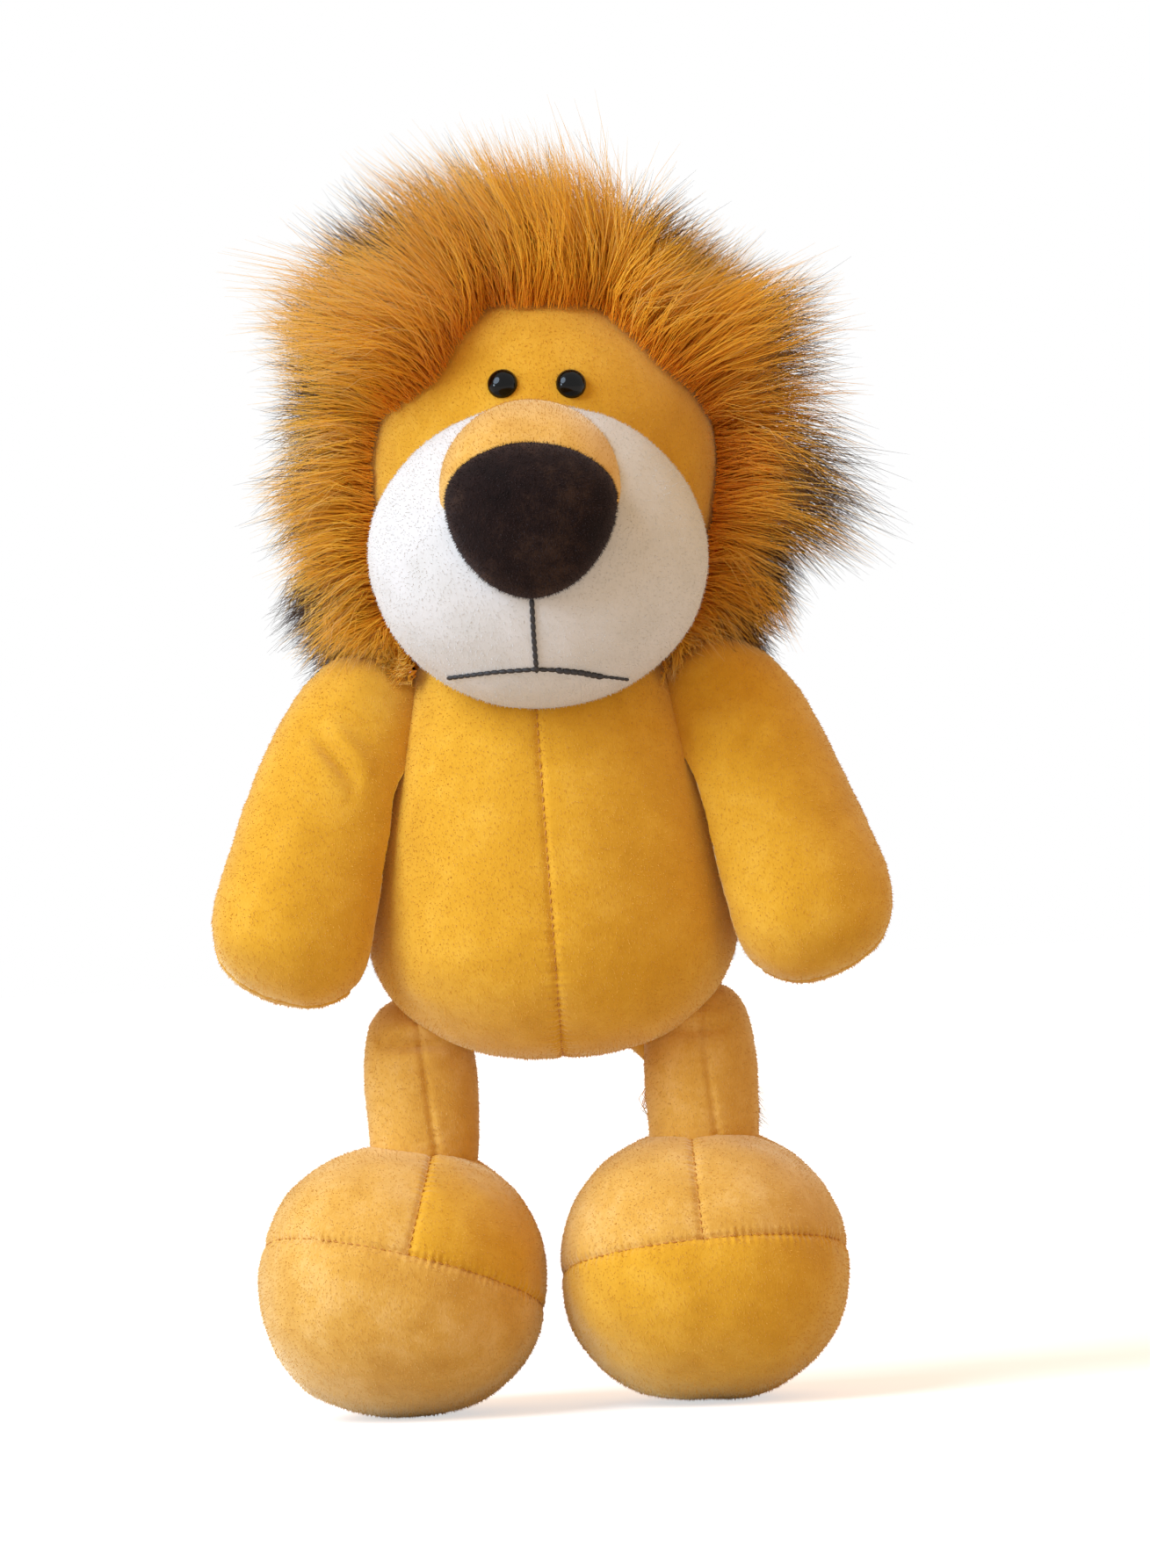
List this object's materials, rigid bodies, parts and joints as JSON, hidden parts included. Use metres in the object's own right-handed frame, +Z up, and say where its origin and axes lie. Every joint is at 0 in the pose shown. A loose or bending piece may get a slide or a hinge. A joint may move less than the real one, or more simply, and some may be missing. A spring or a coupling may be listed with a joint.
{
  "type": "plush lion",
  "caption": "Upright plush lion with a long-pile mane, padded muzzle and nose, hanging arms, short legs and big round feet.",
  "frame": {"origin": "on the floor, under the middle of the toy's box", "axes": "+Z up, -Y out of the face, +X towards the lion's own left arm"},
  "size_m": [0.1952, 0.1634, 0.3543],
  "materials": {
    "golden_velour": "matte",
    "white_velour": "matte",
    "brown_fleece": "matte",
    "mane_pile": "matte",
    "fibre_stuffing": "matte",
    "pellets": "matte",
    "eye_plastic": "gloss",
    "washer_plastic": "satin"
  },
  "bodies": {
    "trunk": {"body_front_left": "golden_velour", "body_front_right": "golden_velour", "body_back_left": "golden_velour", "body_back_right": "golden_velour", "body_stuffing": "fibre_stuffing", "body_pellet_bag": "pellets"},
    "head": {"head_cover": "golden_velour", "head_stuffing": "fibre_stuffing", "muzzle_cover": "white_velour", "muzzle_stuffing": "fibre_stuffing", "snout_bridge": "golden_velour", "nose": "brown_fleece", "eye_left": "eye_plastic", "eye_right": "eye_plastic", "eye_washer_left": "washer_plastic", "eye_washer_right": "washer_plastic", "mane_front": "mane_pile", "mane_back": "mane_pile"},
    "arm_left": {"arm_front_left": "golden_velour", "arm_back_left": "golden_velour", "arm_stuffing_left": "fibre_stuffing"},
    "arm_right": {"arm_front_right": "golden_velour", "arm_back_right": "golden_velour", "arm_stuffing_right": "fibre_stuffing"},
    "leg_left": {"leg_cover_left": "golden_velour", "leg_stuffing_left": "fibre_stuffing"},
    "leg_right": {"leg_cover_right": "golden_velour", "leg_stuffing_right": "fibre_stuffing"},
    "foot_left": {"foot_outer_left": "golden_velour", "foot_inner_left": "golden_velour", "foot_sole_left": "golden_velour", "foot_stuffing_left": "fibre_stuffing", "foot_pellet_bag_left": "pellets"},
    "foot_right": {"foot_outer_right": "golden_velour", "foot_inner_right": "golden_velour", "foot_sole_right": "golden_velour", "foot_stuffing_right": "fibre_stuffing", "foot_pellet_bag_right": "pellets"},
    "tail": {"tail_tube": "golden_velour", "tail_tuft": "mane_pile"}
  },
  "joints": [
    {"name": "head_turn", "type": "hinge", "parent": "trunk", "child": "head", "pos_m": [0, 0.0065, 0.214], "axis": [0, 0, 1], "range_deg": [-15, 15]},
    {"name": "shoulder_left", "type": "hinge", "parent": "trunk", "child": "arm_left", "pos_m": [0.051, 0.0025, 0.199], "axis": [-0.8925, 0.4162, -0.1736], "range_deg": [-25, 50]},
    {"name": "shoulder_right", "type": "hinge", "parent": "trunk", "child": "arm_right", "pos_m": [-0.051, 0.0025, 0.199], "axis": [-0.8925, -0.4162, 0.1736], "range_deg": [-25, 50]},
    {"name": "hip_left", "type": "hinge", "parent": "trunk", "child": "leg_left", "pos_m": [0.04, 0.0115, 0.103], "axis": [-1, 0, 0], "range_deg": [-8, 62]},
    {"name": "hip_right", "type": "hinge", "parent": "trunk", "child": "leg_right", "pos_m": [-0.04, 0.0115, 0.103], "axis": [-1, 0, 0], "range_deg": [-8, 62]},
    {"name": "ankle_left", "type": "hinge", "parent": "leg_left", "child": "foot_left", "pos_m": [0.04, 0.0115, 0.076], "axis": [-1, 0, 0], "range_deg": [-10, 10]},
    {"name": "ankle_right", "type": "hinge", "parent": "leg_right", "child": "foot_right", "pos_m": [-0.04, 0.0115, 0.076], "axis": [-1, 0, 0], "range_deg": [-10, 10]},
    {"name": "tail_swing", "type": "hinge", "parent": "trunk", "child": "tail", "pos_m": [0, 0.0512, 0.122], "axis": [1, 0, 0], "range_deg": [0, 60]}
  ]
}
